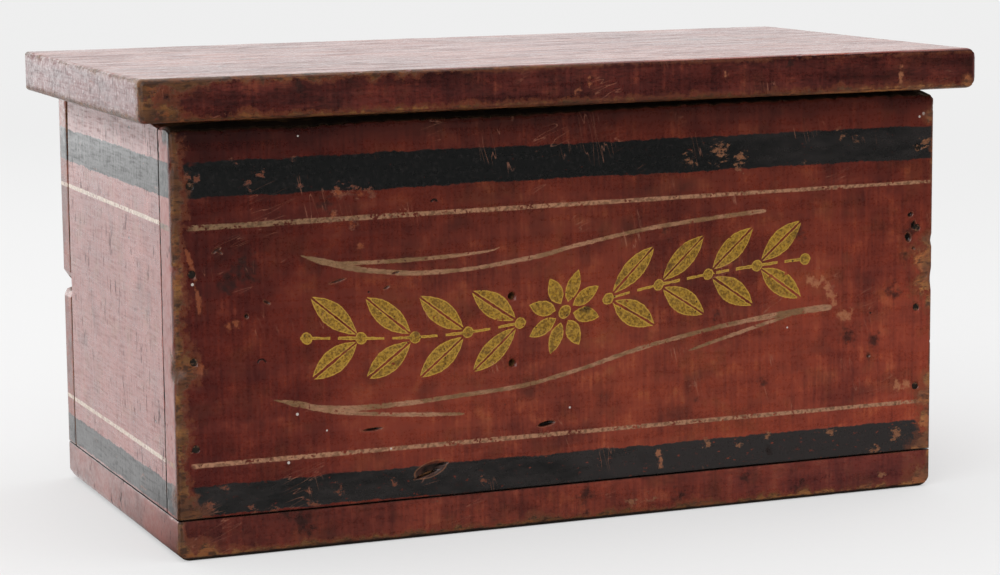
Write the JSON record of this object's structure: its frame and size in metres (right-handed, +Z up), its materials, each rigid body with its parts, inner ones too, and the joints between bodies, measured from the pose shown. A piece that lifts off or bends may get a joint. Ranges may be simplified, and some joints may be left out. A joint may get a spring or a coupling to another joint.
{
  "type": "wooden tool box",
  "caption": "Rectangular tool box of nailed, painted boards with a slab lid that overhangs its front and ends and hinges at the back; stores and carries hand tools.",
  "frame": {"origin": "middle of the underside of the bottom board, on the surface that the box stands on", "axes": "+X to the right along the front, +Y from front to back, +Z up"},
  "size_m": [0.466, 0.2437, 0.2423],
  "materials": {
    "painted_wood": "worn red-brown oil paint on softwood, with black bands and cream lines outside and bare wood inside",
    "hinge_iron": "dark rusted iron",
    "screw_iron": "dull iron, slotted heads",
    "nail_iron": "rusted iron"
  },
  "bodies": {
    "box": {"bottom_board": "painted_wood", "front_board": "painted_wood", "back_board": "painted_wood", "left_end_board": "painted_wood", "right_end_board": "painted_wood", "left_hinge_box_leaf": "hinge_iron", "left_hinge_pin": "hinge_iron", "left_hinge_box_screws": "screw_iron", "right_hinge_box_leaf": "hinge_iron", "right_hinge_pin": "hinge_iron", "right_hinge_box_screws": "screw_iron", "front_nails_left": "nail_iron", "front_nails_right": "nail_iron", "back_nails_left": "nail_iron", "back_nails_right": "nail_iron", "bottom_nails_front": "nail_iron", "bottom_nails_back": "nail_iron", "bottom_nails_left": "nail_iron", "bottom_nails_right": "nail_iron"},
    "lid": {"lid_board": "painted_wood", "left_hinge_lid_leaf": "hinge_iron", "left_hinge_lid_screws": "screw_iron", "right_hinge_lid_leaf": "hinge_iron", "right_hinge_lid_screws": "screw_iron"}
  },
  "joints": [
    {"name": "lid_hinge", "type": "hinge", "parent": "box", "child": "lid", "pos_m": [0, 0.1155, 0.22015], "axis": [-1, 0, 0], "range_deg": [0, 195]}
  ]
}
